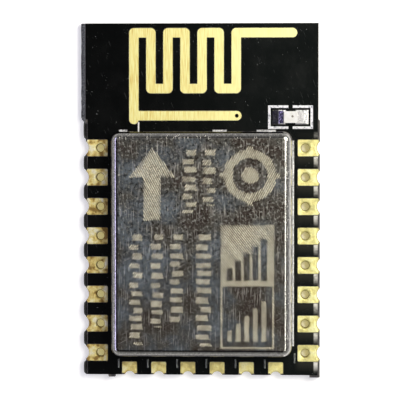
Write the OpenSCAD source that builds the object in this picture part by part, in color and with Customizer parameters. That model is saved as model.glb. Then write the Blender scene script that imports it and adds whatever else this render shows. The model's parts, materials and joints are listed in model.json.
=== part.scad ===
// Wireless module for soldering onto a bigger board. A small circuit board carries a
// printed antenna, plated half-hole pads on three edges, a chip lamp and a drawn metal
// shield that is soldered down over the radio chip, the memory chip and their small parts.
//
// Millimetres. The origin is the centre of the underside, +X is to the right, +Y runs
// towards the antenna end and +Z is up. Copper lies in the outer skins of the board:
// its lower face is z = 0 and its upper face is z = board_t.

/* [Board] */
// Width over the two rows of side pads
board_w = 16; // [15:0.1:20]
// Length from the pad end to the antenna end
board_l = 24; // [22:0.1:30]
// Thickness over the copper of both faces
board_t = 0.8; // [0.6:0.05:1.6]
// Thickness of the copper on the faces and in the plated holes
copper_t = 0.035; // [0.018:0.001:0.05]
// Thickness of the solder mask
mask_t = 0.02; // [0.01:0.001:0.03]
// Bare ring between copper that shows and the solder mask round it
mask_gap = 0.04; // [0.02:0.01:0.08]
// Corner taken off the routed side edges
edge_break = 0.1; // [0.05:0.01:0.15]
// Thickness of the printed ink
ink_t = 0.015; // [0.01:0.001:0.02]

/* [Snapped edges] */
// How far the snapped left edge beside the antenna stands out
snap_w = 0.3; // [0.1:0.05:0.5]
// Distance from the first side pad to the snapped edge
snap_gap = 1.4; // [0.8:0.1:2.5]
// Width of the scored slope on each face of the snapped edge
score_w = 0.3; // [0.05:0.01:0.3]
// Depth of the scored slope on each face
score_d = 0.24; // [0.1:0.01:0.25]
// Step by which the right edge beside the antenna is cut back
relief_w = 0.1; // [0.05:0.01:0.3]
// How far the broken panel tabs on the pad end stand out
tab_h = 0.16; // [0.05:0.01:0.3]
// Width of the left panel tab
tab_left_w = 0.45; // [0.3:0.05:1]
// Width of the right panel tab
tab_right_w = 0.7; // [0.3:0.05:1]

/* [Pads] */
// Distance between neighbouring pads
pad_pitch = 2; // [1.8:0.01:2.2]
// Pads on each side, or as many as have room below the antenna zone
side_pads = 8; // [4:1:8]
// Pads on the end
end_pads = 6; // [2:1:6]
// Distance from the pad end to the centre of the nearest side pad
side_start = 1.5; // [1.2:0.05:2]
// Least distance from the first side pad to the antenna zone
pad_clear = 0.3; // [0.2:0.05:0.5]
// Width of a side pad, along the edge
side_pad_w = 1.12; // [1.05:0.01:1.3]
// Length of a side pad, in from the edge
side_pad_l = 1.5; // [1.45:0.01:2]
// Width of an end pad, along the edge
end_pad_w = 1; // [0.9:0.01:1.2]
// Length of an end pad, in from the edge
end_pad_l = 0.87; // [0.8:0.01:1.2]
// Radius of the inner corners of a pad
pad_corner = 0.08; // [0.03:0.01:0.15]
// Radius of the finished hole in each side pad
hole_r = 0.26; // [0.2:0.01:0.3]
// Distance from the edge to the centre of that hole
hole_in = 1; // [0.95:0.01:1.05]
// Rounding of the laminate at the rim of each plated hole
rim_r = 0.12; // [0.02:0.01:0.14]
// Width of a side half hole, along the edge
side_notch_w = 0.86; // [0.7:0.01:0.9]
// Depth of a side half hole, in from the edge
side_notch_d = 0.2; // [0.15:0.01:0.3]
// Width of an end half hole, along the edge
end_notch_w = 0.66; // [0.5:0.01:0.7]
// Depth of an end half hole, in from the edge
end_notch_d = 0.22; // [0.15:0.01:0.3]

/* [Antenna] */
// Length of the board kept free for the antenna
antenna_zone = 7.4; // [7:0.1:10]
// Width of the antenna track
track_w = 0.64; // [0.4:0.01:0.8]
// Upright legs of the folded track
legs = 7; // [3:2:7]
// Distance between neighbouring legs
leg_pitch = 1.165; // [1:0.005:1.2]
// Distance from the left edge to the first leg
first_leg_in = 3.31; // [2.5:0.01:4]
// Distance from the antenna end to the centre of the top bars
top_bar_in = 0.65; // [0.5:0.01:1]
// Height of the folds, from top bars to bottom bars
fold_h = 3.8; // [3:0.05:4.2]
// Distance from the right edge to the centre of the track's end
track_end_in = 1.87; // [1:0.01:3]
// Distance from the shield to the grounded bar
ground_bar_up = 1.1; // [0.9:0.01:1.3]
// Length of the grounded bar
ground_bar_l = 7.03; // [6:0.01:7.3]
// Length of the foot below the grounded bar
foot_l = 0.25; // [0.1:0.01:0.3]
// Radius of the plated hole in the grounded bar
ground_hole_r = 0.135; // [0.1:0.005:0.16]
// Radius of the round copper land under that hole
ground_land_r = 0.3; // [0.25:0.01:0.4]
// Width of the fine feed line
feed_w = 0.09; // [0.06:0.01:0.15]

/* [Shield] */
// Gap between the side pads and the shield
shield_side_gap = 0.4; // [0.2:0.01:0.8]
// Gap between the end pads and the shield
shield_end_gap = 0.53; // [0.2:0.01:0.8]
// Height of the shield above the board
shield_h = 2.2; // [2.1:0.05:4]
// Sheet thickness of the shield
sheet_t = 0.2; // [0.1:0.01:0.22]
// Outer bend radius of the top edge
bend_r = 0.5; // [0.3:0.01:0.5]
// Corner radius of the shield seen from above
corner_r = 0.6; // [0.55:0.01:1]
// Width of the opening in the wall over the feed line
arch_w = 0.7; // [0.5:0.05:1]
// Height of that opening
arch_h = 0.3; // [0.2:0.05:0.5]
// Width of the copper ring that the shield is soldered to
ring_w = 0.5; // [0.35:0.01:0.6]
// How far the solder reaches out from the shield wall
solder_w = 0.13; // [0.08:0.01:0.16]
// How far the solder climbs the shield wall
solder_h = 0.24; // [0.1:0.01:0.4]
// Distance from the left wall to the middle of the first solder run beside the antenna
left_run_in = 0.68; // [0.6:0.01:1]
// Length of that run
left_run_l = 0.55; // [0.3:0.01:0.6]
// Distance from the middle of that wall to the middle of the second run
mid_run_in = 1.17; // [0:0.01:2]
// Length of the second run
mid_run_l = 0.95; // [0.5:0.01:1.5]
// Distance from the right wall to the middle of the third run
right_run_in = 1.75; // [1.5:0.01:2.5]
// Length of the third run
right_run_l = 1.3; // [0.5:0.01:1.4]
// Length of the two solder runs beside the end pads
low_run_l = 1.6; // [1:0.1:2]

/* [Lamp] */
// Length of the chip lamp over its metal ends
lamp_l = 1.6; // [1.4:0.01:2]
// Width of the chip lamp
lamp_w = 0.8; // [0.6:0.01:1]
// Thickness of the lamp's base board
lamp_base_t = 0.2; // [0.15:0.01:0.3]
// Height of the clear resin above the base board
lamp_resin_h = 0.3; // [0.2:0.01:0.4]
// Length of each metal end
lamp_end_l = 0.32; // [0.2:0.01:0.4]
// Thickness of the plating of each metal end
lamp_plate_t = 0.03; // [0.02:0.005:0.05]
// Length by which the lamp's lands and their solder stand out past its ends
lamp_land_out = 0.4; // [0.1:0.05:0.45]
// Distance from the right edge to the lamp's centre
lamp_in = 2; // [1.9:0.01:3]
// Distance from the shield to the lamp's centre
lamp_up = 1; // [1:0.01:2]
// Length of the printed frame round the lamp
frame_l = 3.05; // [2.8:0.05:3.4]
// Width of the printed frame round the lamp
frame_w = 1.6; // [1.5:0.01:1.8]
// Width of the printed line
frame_line = 0.17; // [0.1:0.01:0.2]
// Gap in the middle of each long side of the frame
frame_gap = 0.3; // [0.1:0.05:0.6]

/* [Chips] */
// Side of the radio chip
radio_side = 5; // [4:0.1:5.2]
// Height of the radio chip
radio_h = 0.85; // [0.7:0.05:1]
// Leads on each side of the radio chip
radio_leads = 8; // [4:1:8]
// Distance between the leads of the radio chip
radio_pitch = 0.5; // [0.4:0.01:0.5]
// Side of the memory chip's body
memory_side = 5.25; // [4:0.05:5.3]
// Height of the memory chip above the board
memory_h = 1.75; // [1.5:0.01:1.8]
// Span over the memory chip's leads
memory_span = 7.9; // [7.4:0.1:8]
// Leads on each side of the memory chip
memory_leads = 4; // [2:1:4]
// Distance between the leads of the memory chip
memory_pitch = 1.27; // [1:0.01:1.27]
// Width of a lead of the memory chip
memory_lead_w = 0.42; // [0.3:0.01:0.5]
// Thickness of a lead of the memory chip
memory_lead_t = 0.2; // [0.15:0.01:0.25]
// Length of the crystal's case
crystal_l = 3.2; // [2.5:0.1:3.3]
// Width of the crystal's case
crystal_w = 2.5; // [2:0.1:2.6]
// Height of the crystal's case, with its lid
crystal_h = 0.75; // [0.6:0.01:0.9]
// Thickness of the crystal's metal lid
crystal_lid_t = 0.2; // [0.1:0.01:0.3]
// Clear space between the ring and the radio chip and crystal, at the antenna end
chip_clear = 1.2; // [1.1:0.05:1.5]
// Length by which a lead of the memory chip reaches into its body
memory_lead_in = 0.3; // [0.2:0.05:0.5]

/* [Small parts] */
// Length of a small chip part
small_l = 1; // [0.9:0.01:1.1]
// Width and height of a small chip part
small_w = 0.5; // [0.4:0.01:0.6]
// Length of the bulk capacitor
bulk_l = 1.6; // [1.4:0.01:1.8]
// Width and height of the bulk capacitor
bulk_w = 0.8; // [0.7:0.01:0.9]
// Height of a chip resistor
resistor_h = 0.35; // [0.3:0.01:0.4]
// Length of the metal ends, as far as they cover a small part
end_cap_l = 0.25; // [0.15:0.01:0.3]
// Thickness of the metal on those ends
end_cap_t = 0.03; // [0.02:0.005:0.04]
// Length by which a copper land shows past the metal end it carries
land_out = 0.12; // [0.05:0.01:0.15]
// Clear space between one row of parts and the next
row_gap = 0.5; // [0.45:0.01:0.55]
// Distance from the ring to the first capacitor under the crystal
column_in = 0.8; // [0.6:0.05:1]
// Distance between the two capacitors under the crystal
column_pitch = 1.5; // [1:0.05:1.6]

/* [Hidden] */
$fn = 48;
cut = 0.5; // how far a cutting shape runs past the face it opens
part_gap = 0.1; // clear space between the ring and the nearest land
lam_low = copper_t;
lam_high = board_t - copper_t;
left_edge = -board_w / 2;
right_edge = board_w / 2;
pad_end = -board_l / 2;
antenna_end = board_l / 2;

// side pads fill the room beside the shield and are counted from the antenna end
side_room = board_l - antenna_zone - pad_clear - side_pad_w / 2 - side_start;
side_count = min(side_pads, floor(side_room / pad_pitch) + 1);
function side_pad_y(i) = pad_end + side_start + (side_count - i) * pad_pitch;
function end_pad_x(i) = (i - (end_pads + 1) / 2) * pad_pitch;
snap_end = side_pad_y(1) + side_pad_w / 2 + snap_gap;

// radius of a circle that bites a notch of this width and depth out of a straight edge
function notch_r(w, d) = (w * w / 4 + d * d) / (2 * d);

// shield, from the rows of pads and the zone kept for the antenna
shield_w = board_w - 2 * (side_pad_l + shield_side_gap);
shield_low = pad_end + end_pad_l + shield_end_gap;
shield_high = antenna_end - antenna_zone;
shield_l = shield_high - shield_low;
shield_y = (shield_high + shield_low) / 2;

// places inside the shield, as distances from the inner edge of the ring it is soldered to
function from_left(d) = -shield_w / 2 + ring_w + d;
function from_right(d) = shield_w / 2 - ring_w - d;
function from_high(d) = shield_high - ring_w - d;
function from_low(d) = shield_low + ring_w + d;

// antenna
function leg_x(k) = left_edge + first_leg_in + k * leg_pitch;
top_bar_y = antenna_end - top_bar_in;
fold_y = top_bar_y - fold_h;
ground_bar_y = shield_high + ground_bar_up;
foot_y = ground_bar_y - foot_l - track_w / 2;
ground_end = [leg_x(0) + ground_bar_l, ground_bar_y];
track_path = [
    for (k = [0 : legs - 1])
        each k % 2 == 0
            ? [[leg_x(k), k == 0 ? foot_y + track_w / 2 : fold_y], [leg_x(k), top_bar_y]]
            : [[leg_x(k), top_bar_y], [leg_x(k), fold_y]],
    [right_edge - track_end_in, top_bar_y]
];
feed_x = leg_x(0) + track_w / 2;
feed_end_y = from_high(part_gap);

// lamp
lamp_x = right_edge - lamp_in;
lamp_y = shield_high + lamp_up;
lamp_land_l = lamp_end_l + land_out + lamp_land_out;
lamp_land_w = lamp_w + land_out;
lamp_lean = 0.05; // how far each end of the resin leans in

// radio chip, memory chip and crystal
small_in = small_l / 2 + land_out + part_gap; // from the ring to the middle of a small part
radio_at = [from_left(2 * small_in + row_gap + radio_side / 2), from_high(chip_clear + radio_side / 2)];
radio_lead_l = 0.4;
radio_lead_w = 0.25;
radio_lead_t = 0.2;
radio_pad_side = 3.2;
memory_at = [from_left(memory_span / 2 + land_out + part_gap), from_low(row_gap + memory_side / 2)];
memory_standoff = 0.1;
memory_lead_z = 0.85;
memory_foot = 0.65;
memory_slope = 0.22;
memory_draft = 0.12;
crystal_at = [from_right(crystal_l / 2 + part_gap), from_high(chip_clear + crystal_w / 2)];
mark_r = 0.28; // dimple by lead 1 of each chip
mark_d = 0.05;
mark_in = 0.75;
crystal_corner = 0.3;
crystal_lip = 0.15;
crystal_pad = 0.9;

// rows of small parts below the crystal, as distances from the ring at the antenna end
pair_down = chip_clear + crystal_w + row_gap + small_l / 2;
bulk_down = pair_down + small_l / 2 + row_gap + bulk_w / 2;
resistor_down = bulk_down + bulk_w / 2 + row_gap + small_w / 2;
resistor_pitch = small_w + row_gap;
bulk_in = bulk_l / 2 + row_gap;

// [x, y, turn, length, width, height] of each small part
capacitors = [
    [feed_x, from_high(small_in), 90, small_l, small_w, small_w],
    [from_left(small_in), radio_at[1], 0, small_l, small_w, small_w],
    [from_right(column_in), from_high(pair_down), 90, small_l, small_w, small_w],
    [from_right(column_in + column_pitch), from_high(pair_down), 90, small_l, small_w, small_w],
    [from_right(bulk_in), from_high(bulk_down), 0, bulk_l, bulk_w, bulk_w]
];
resistors = [
    for (k = [0 : 1])
        [from_right(bulk_in), from_high(resistor_down + k * resistor_pitch), 0, small_l, small_w, resistor_h]
];
inductors = [[feed_x, from_high(small_in + small_l + row_gap), 90, small_l, small_w, small_w]];

// [centre, length] of the solder runs along each wall of the shield
high_runs = [
    [left_run_in - shield_w / 2, left_run_l],
    [mid_run_in, mid_run_l],
    [shield_w / 2 - right_run_in, right_run_l]
];
low_runs = [for (s = [-1, 1]) [s * shield_w / 4, low_run_l]];
side_run_l = shield_l - 2 * corner_r;

// ---------------------------------------------------------------- plated holes

// Solid that fills a hole whose two rims are rounded off with radius rim. The straight
// wall has radius wall_r and the rims end on the faces z = low and z = high.
module rimmed_hole(wall_r, rim, low, high, past) {
    mouth_r = wall_r + rim;
    rotate_extrude() difference() {
        translate([0, low - past]) square([mouth_r, high - low + 2 * past]);
        translate([wall_r, low + rim]) square([2 * rim, high - low - 2 * rim]);
        for (z = [low + rim, high - rim])
            translate([mouth_r, z]) circle(r = rim);
    }
}

// The hole in the laminate: as large as the finished hole and its copper
module drilled_hole(r, past) rimmed_hole(r + copper_t, rim_r, lam_low, lam_high, past);

// The finished hole, with the rounding of the laminate carried through the copper
module finished_hole(r) rimmed_hole(r, rim_r + copper_t, 0, board_t, cut);

// Pad outline: the edge of the board is x = 0 and the pad runs towards +X
module pad_shape(l, w, grow = 0) {
    r = pad_corner + grow;
    translate([-grow, -w / 2 - grow]) square([l + 2 * grow - r, w + 2 * grow]);
    translate([0, -w / 2 - grow + r]) square([l + grow, w + 2 * grow - 2 * r]);
    for (s = [-1, 1])
        translate([l + grow - r, s * (w / 2 + grow - r)]) circle(r = r);
}

// The bevel that takes the corner off an edge along x = 0, on both faces
module edge_bevel(len) {
    rotate([90, 0, 0]) linear_extrude(len, center = true)
        for (s = [0, 1])
            translate([0, s * board_t]) mirror([0, s])
                polygon([
                    [-cut, -cut], [edge_break + copper_t + cut, -cut],
                    [-cut, edge_break + copper_t + cut]
                ]);
}

// Copper of one pad in its own place: both faces, the wall of its half hole and of its hole
module pad_copper(l, w, notch_w, notch_d, hole) {
    half_r = notch_r(notch_w, notch_d);
    out = half_r - notch_d;
    difference() {
        union() {
            for (z = [0, lam_high])
                translate([0, 0, z]) linear_extrude(copper_t) intersection() {
                    pad_shape(l, w);
                    translate([0, -w]) square([2 * l, 2 * w]);
                }
            intersection() {
                translate([-out, 0, 0]) drilled_hole(half_r, copper_t);
                translate([0, -w / 2, 0]) cube([l, w, board_t]);
            }
            if (hole) translate([hole_in, 0, 0]) drilled_hole(hole_r, copper_t);
        }
        translate([-out, 0, 0]) finished_hole(half_r);
        if (hole) translate([hole_in, 0, 0]) finished_hole(hole_r);
        edge_bevel(2 * w);
    }
}

// What the laminate loses for one pad
module pad_drilling(notch_w, notch_d, hole) {
    half_r = notch_r(notch_w, notch_d);
    translate([notch_d - half_r, 0, 0]) drilled_hole(half_r, cut);
    if (hole) translate([hole_in, 0, 0]) drilled_hole(hole_r, cut);
}

// Frames of the pads: x = 0 is the board's edge and +X points inwards
module at_left(i) translate([left_edge, side_pad_y(i), 0]) children();
module at_right(i) translate([right_edge, side_pad_y(i), 0]) mirror([1, 0, 0]) children();
module at_end(i) translate([end_pad_x(i), pad_end, 0]) rotate([0, 0, 90]) children();

module side_pad() color("#d9bd6b") pad_copper(side_pad_l, side_pad_w, side_notch_w, side_notch_d, true);
module end_pad() color("#d9bd6b") pad_copper(end_pad_l, end_pad_w, end_notch_w, end_notch_d, false);

// ----------------------------------------------------------------------- board

// Outline of the board with its snapped left edge and its panel tabs
module board_outline() {
    polygon([
        [left_edge, pad_end], [right_edge, pad_end],
        [right_edge, snap_end - relief_w], [right_edge - relief_w, snap_end],
        [right_edge - relief_w, antenna_end], [left_edge - snap_w, antenna_end],
        [left_edge - snap_w, snap_end], [left_edge, snap_end - snap_w]
    ]);
    translate([end_pad_x(1) - pad_pitch / 2 - tab_left_w, pad_end - tab_h])
        square([tab_left_w, 2 * tab_h]);
    translate([right_edge - tab_right_w, pad_end - tab_h])
        square([tab_right_w, 2 * tab_h]);
}

// Slopes that the scoring leaves on both faces along the snapped edge
module score_slopes() {
    translate([left_edge - snap_w, antenna_end + cut, 0]) rotate([90, 0, 0])
        linear_extrude(antenna_end - snap_end + snap_w + 2 * cut)
            for (s = [0, 1])
                translate([0, s * board_t]) mirror([0, s])
                    polygon([
                        [-cut, -cut], [score_w, -cut], [score_w, lam_low],
                        [0, lam_low + score_d], [-cut, lam_low + score_d]
                    ]);
}

module laminate() {
    routed_l = snap_end - snap_w - pad_end;
    color("#3b382e") difference() {
        translate([0, 0, lam_low]) linear_extrude(lam_high - lam_low) board_outline();
        for (i = [1 : side_count]) {
            at_left(i) pad_drilling(side_notch_w, side_notch_d, true);
            at_right(i) pad_drilling(side_notch_w, side_notch_d, true);
        }
        for (i = [1 : end_pads]) at_end(i) pad_drilling(end_notch_w, end_notch_d, false);
        translate([left_edge, pad_end + routed_l / 2, 0]) edge_bevel(routed_l);
        translate([right_edge, 0, 0]) mirror([1, 0, 0]) edge_bevel(board_l + 2 * tab_h);
        score_slopes();
        translate([ground_end[0], ground_end[1], 0])
            cylinder(r = ground_hole_r + copper_t, h = 3 * board_t, center = true);
    }
}

// Area that the solder mask covers before its openings are cut
module mask_outline() {
    inset = edge_break + mask_gap;
    translate([left_edge + inset, pad_end]) square([board_w - 2 * inset, board_l]);
    translate([left_edge - snap_w + score_w, snap_end])
        square([board_w / 2, antenna_end - snap_end]);
}

module pad_openings() {
    for (i = [1 : side_count]) {
        translate([left_edge, side_pad_y(i)]) pad_shape(side_pad_l, side_pad_w, mask_gap);
        translate([right_edge, side_pad_y(i)]) mirror([1, 0])
            pad_shape(side_pad_l, side_pad_w, mask_gap);
    }
    for (i = [1 : end_pads])
        translate([end_pad_x(i), pad_end]) rotate(90)
            pad_shape(end_pad_l, end_pad_w, mask_gap);
}

module top_solder_mask() {
    color("#0d100f") translate([0, 0, lam_high]) linear_extrude(mask_t) difference() {
        mask_outline();
        pad_openings();
        antenna_shape(mask_gap);
        feed_shape(mask_gap);
        ring_shape(mask_gap);
        land_shapes(mask_gap);
    }
}

module bottom_solder_mask() {
    color("#0d100f") translate([0, 0, lam_low - mask_t]) linear_extrude(mask_t) difference() {
        mask_outline();
        pad_openings();
        translate(ground_end) circle(r = ground_land_r + mask_gap);
    }
}

// ------------------------------------------------------------ antenna and tracks

// Straight run of track between two points along X or Y, with round ends
module run(a, b, w) {
    for (p = [a, b]) translate(p) circle(d = w);
    low = [min(a[0], b[0]), min(a[1], b[1])];
    span = [abs(a[0] - b[0]), abs(a[1] - b[1])];
    translate([low[0] - (span[0] > 0 ? 0 : w / 2), low[1] - (span[1] > 0 ? 0 : w / 2)])
        square([span[0] > 0 ? span[0] : w, span[1] > 0 ? span[1] : w]);
}

module antenna_shape(grow = 0) {
    w = track_w + 2 * grow;
    for (k = [0 : len(track_path) - 2]) run(track_path[k], track_path[k + 1], w);
    run([leg_x(0), ground_bar_y], ground_end, w);
}

module antenna_track() {
    color("#e8d98a") difference() {
        union() {
            translate([0, 0, lam_high]) linear_extrude(copper_t) antenna_shape();
            translate(ground_end) cylinder(r = ground_hole_r + copper_t, h = board_t);
            translate(ground_end) cylinder(r = ground_land_r, h = copper_t);
        }
        translate(ground_end) cylinder(r = ground_hole_r, h = 3 * board_t, center = true);
    }
}

module feed_shape(grow = 0) {
    track_foot = ground_bar_y - track_w / 2 - foot_l / 2;
    translate([feed_x - feed_w / 2 - grow, feed_end_y - grow])
        square([feed_w + 2 * grow, track_foot - feed_end_y + grow]);
}

module feed_line() {
    color("#e6e0cc") translate([0, 0, lam_high]) linear_extrude(copper_t) difference() {
        feed_shape();
        antenna_shape();
        small_land_shapes(capacitors[0]);
    }
}

// Rectangle with round corners, about the origin
module round_rect(w, l, r) {
    square([w, l - 2 * r], center = true);
    square([w - 2 * r, l], center = true);
    for (x = [-1, 1], y = [-1, 1])
        translate([x * (w / 2 - r), y * (l / 2 - r)]) circle(r = r);
}

// Copper ring under the foot of the shield, with a tab under each run of solder
module ring_shape(grow = 0) {
    difference() {
        union() {
            translate([0, shield_y]) difference() {
                round_rect(shield_w + 2 * grow, shield_l + 2 * grow, corner_r + grow);
                square([shield_w - 2 * ring_w - 2 * grow, shield_l - 2 * ring_w - 2 * grow],
                    center = true);
            }
            solder_places() translate([-grow, -ring_w / 2])
                square([$run_l + 2 * grow, ring_w / 2 + solder_w + grow]);
        }
        translate([feed_x, shield_high])
            square([arch_w - 2 * grow, 4 * ring_w], center = true);
    }
}

module ground_ring() {
    color("#d9bd6b") translate([0, 0, lam_high]) linear_extrude(copper_t) ring_shape();
}

// Puts its children at each run of solder: x runs along the wall and +Y points away from it
module solder_places() {
    for (run = high_runs) {
        $run_l = run[1];
        translate([run[0] - run[1] / 2, shield_high]) children();
    }
    for (run = low_runs) {
        $run_l = run[1];
        translate([run[0] + run[1] / 2, shield_low]) rotate(180) children();
    }
    for (s = [-1, 1]) {
        $run_l = side_run_l;
        translate([s * shield_w / 2, shield_y + s * side_run_l / 2]) rotate(-90 * s) children();
    }
}

// Solder drawn up between the board and the shield wall, hollow like a quarter dish
module shield_solder() {
    steps = 6;
    lip = 0.02;
    hollow = [
        for (k = [0 : steps])
            let (a = 90 * k / steps)
            [solder_w - (solder_w - lip) * sin(a), solder_h - (solder_h - lip) * cos(a)]
    ];
    color("#cfcfd2") solder_places() translate([0, 0, board_t]) rotate([90, 0, 90])
        linear_extrude($run_l) polygon(concat([[0, 0], [solder_w, 0]], hollow, [[0, solder_h]]));
}

// ---------------------------------------------------------------------- shield

// Block with round corners in plan and a round top edge, as a drawn sheet has
module drawn_block(w, l, h, plan_r, edge_r) {
    module edge_profile() difference() {
        square([edge_r + cut, edge_r + cut]);
        circle(r = edge_r);
    }
    difference() {
        linear_extrude(h) round_rect(w, l, plan_r);
        for (x = [-1, 1], y = [-1, 1])
            translate([x * (w / 2 - plan_r), y * (l / 2 - plan_r), h - edge_r])
                rotate([0, 0, x > 0 ? (y > 0 ? 0 : -90) : (y > 0 ? 90 : 180)])
                    rotate_extrude(angle = 90) translate([plan_r - edge_r, 0]) edge_profile();
        for (s = [0, 180]) rotate([0, 0, s]) {
            translate([w / 2 - edge_r, l / 2 - plan_r, h - edge_r]) rotate([90, 0, 0])
                linear_extrude(l - 2 * plan_r) edge_profile();
            translate([w / 2 - plan_r, l / 2 - edge_r, h - edge_r]) rotate([90, 0, -90])
                linear_extrude(w - 2 * plan_r) mirror([1, 0]) edge_profile();
        }
    }
}

module shield_can() {
    color("#4b484a") translate([0, shield_y, board_t]) difference() {
        drawn_block(shield_w, shield_l, shield_h, corner_r, bend_r);
        translate([0, 0, -cut])
            drawn_block(shield_w - 2 * sheet_t, shield_l - 2 * sheet_t,
                shield_h - sheet_t + cut, corner_r - sheet_t, bend_r - sheet_t);
        translate([feed_x, shield_l / 2, 0]) rotate([90, 0, 0])
            linear_extrude(4 * sheet_t, center = true) {
                square([arch_w, 2 * arch_h - arch_w / 2], center = true);
                translate([0, arch_h - arch_w / 4]) square([arch_w / 2, arch_w / 2], center = true);
                for (s = [-1, 1])
                    translate([s * arch_w / 4, arch_h - arch_w / 4]) circle(r = arch_w / 4);
            }
    }
}

// ------------------------------------------------------------------------ lamp

module lamp_land_shapes(grow = 0) {
    for (s = [-1, 1])
        translate([lamp_x + s * (lamp_l / 2 + lamp_land_out - lamp_land_l / 2), lamp_y])
            square([lamp_land_l + 2 * grow, lamp_land_w + 2 * grow], center = true);
}

module lamp_base() {
    color("#e9e6d8") translate([lamp_x, lamp_y, board_t + lamp_plate_t])
        translate([0, 0, lamp_base_t / 2])
            cube([lamp_l - 2 * lamp_plate_t, lamp_w - 2 * lamp_plate_t, lamp_base_t], center = true);
}

// Clear block over the lamp, its ends leaning in as they leave the mould
module lamp_resin() {
    l = lamp_l - 2 * lamp_end_l;
    color("#f3efdc") translate([lamp_x, lamp_y + lamp_w / 2, board_t + lamp_plate_t + lamp_base_t])
        rotate([90, 0, 0]) linear_extrude(lamp_w)
            polygon([
                [-l / 2, 0], [l / 2, 0],
                [l / 2 - lamp_lean, lamp_resin_h], [lamp_lean - l / 2, lamp_resin_h]
            ]);
}

module lamp_ends() {
    color("#b9b5c4") translate([lamp_x, lamp_y, board_t]) difference() {
        for (s = [-1, 1])
            translate([s * (lamp_l - lamp_end_l) / 2, 0, lamp_base_t / 2 + lamp_plate_t])
                cube([lamp_end_l, lamp_w, lamp_base_t + 2 * lamp_plate_t], center = true);
        translate([0, 0, lamp_plate_t + lamp_base_t / 2])
            cube([lamp_l - 2 * lamp_plate_t, lamp_w - 2 * lamp_plate_t, lamp_base_t], center = true);
    }
}

// Solder drawn up against the metal ends of the lamp
module lamp_solder() {
    rise = lamp_base_t;
    lip = 0.01;
    color("#cfcfd2")
        for (s = [0, 1])
            translate([lamp_x, lamp_y, board_t]) mirror([s, 0, 0])
                translate([lamp_l / 2, lamp_w / 2, 0]) rotate([90, 0, 0])
                    linear_extrude(lamp_w)
                        polygon([
                            [0, 0], [lamp_land_out, 0], [lamp_land_out / 3, rise / 3], [lip, rise],
                            [0, rise]
                        ]);
}

module printed_frame() {
    color("#f0f0ea") translate([lamp_x, lamp_y, lam_high + mask_t]) linear_extrude(ink_t)
        difference() {
            square([frame_l, frame_w], center = true);
            square([frame_l - 2 * frame_line, frame_w - 2 * frame_line], center = true);
            square([frame_gap, 2 * frame_w], center = true);
        }
}

// -------------------------------------------------------------- chips and crystal

module at_place(at) translate([at[0], at[1], board_t]) children();

// Centres of a row of leads along Y, about the middle of the row
function lead_places(n, pitch) = [for (k = [0 : n - 1]) (k - (n - 1) / 2) * pitch];

module radio_lead_shapes(grow = 0) {
    for (q = [0 : 3]) rotate(90 * q)
        for (y = lead_places(radio_leads, radio_pitch))
            translate([radio_side / 2 - radio_lead_l - grow, y - radio_lead_w / 2 - grow])
                square([radio_lead_l + 2 * grow, radio_lead_w + 2 * grow]);
    square(radio_pad_side + 2 * grow, center = true);
}

module radio_chip_leads() {
    color("#c9c7c2") at_place(radio_at) linear_extrude(radio_lead_t) radio_lead_shapes();
}

module radio_chip() {
    color("#1d1e20") at_place(radio_at) difference() {
        translate([0, 0, radio_h / 2]) cube([radio_side, radio_side, radio_h], center = true);
        translate([0, 0, -cut]) linear_extrude(radio_lead_t + cut) radio_lead_shapes();
        translate([mark_in - radio_side / 2, radio_side / 2 - mark_in, radio_h - mark_d])
            cylinder(r = mark_r, h = cut);
    }
}

// Section of a moulded body that leans in by draft above and below its parting line
module moulded_section(w, low, high, part, draft) {
    polygon([
        [draft - w / 2, low], [w / 2 - draft, low], [w / 2, part],
        [w / 2 - draft, high], [draft - w / 2, high], [-w / 2, part]
    ]);
}

module memory_chip() {
    color("#1d1e20") at_place(memory_at) difference() {
        intersection() {
            rotate([90, 0, 0]) linear_extrude(2 * memory_side, center = true)
                moulded_section(memory_side, memory_standoff, memory_h, memory_lead_z, memory_draft);
            rotate([90, 0, 90]) linear_extrude(2 * memory_side, center = true)
                moulded_section(memory_side, memory_standoff, memory_h, memory_lead_z, memory_draft);
        }
        translate([mark_in - memory_side / 2, memory_side / 2 - mark_in, memory_h - mark_d])
            cylinder(r = mark_r, h = cut);
        memory_lead_solids();
    }
}

// Strip of thickness t along a path in the XZ plane, its corners mitred
function mitre(path, k, t) =
    let (
        a = path[max(k - 1, 0)], b = path[k], c = path[min(k + 1, len(path) - 1)],
        u = (b - a) == [0, 0] ? (c - b) / norm(c - b) : (b - a) / norm(b - a),
        v = (c - b) == [0, 0] ? u : (c - b) / norm(c - b),
        m = [-(u + v)[1], (u + v)[0]]
    )
    m / norm(m) * t / 2 / sqrt((1 + u * v) / 2);
function strip(path, t) = concat(
    [for (k = [0 : len(path) - 1]) path[k] + mitre(path, k, t)],
    [for (k = [len(path) - 1 : -1 : 0]) path[k] - mitre(path, k, t)]
);

// Bent leads: a flat foot on the board, a slope up, and a short run into the body
module memory_lead_solids() {
    mid = memory_lead_t / 2;
    toe = memory_span / 2;
    heel = toe - memory_foot;
    path = [
        [toe, mid], [heel, mid], [heel - memory_slope, memory_lead_z],
        [memory_side / 2 - memory_lead_in, memory_lead_z]
    ];
    for (s = [0, 1], y = lead_places(memory_leads, memory_pitch))
        mirror([s, 0, 0]) translate([0, y + memory_lead_w / 2, 0]) rotate([90, 0, 0])
            linear_extrude(memory_lead_w) polygon(strip(path, memory_lead_t));
}

module memory_chip_leads() {
    color("#c9c7c2") at_place(memory_at) memory_lead_solids();
}

module crystal_case() {
    color("#8d8a80") at_place(crystal_at) linear_extrude(crystal_h - crystal_lid_t)
        round_rect(crystal_l, crystal_w, crystal_corner);
}

module crystal_lid() {
    color("#c8c8c4") at_place(crystal_at)
        translate([0, 0, crystal_h - crystal_lid_t]) linear_extrude(crystal_lid_t)
            round_rect(crystal_l - 2 * crystal_lip, crystal_w - 2 * crystal_lip, crystal_corner);
}

// ------------------------------------------------------------------- small parts

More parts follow.
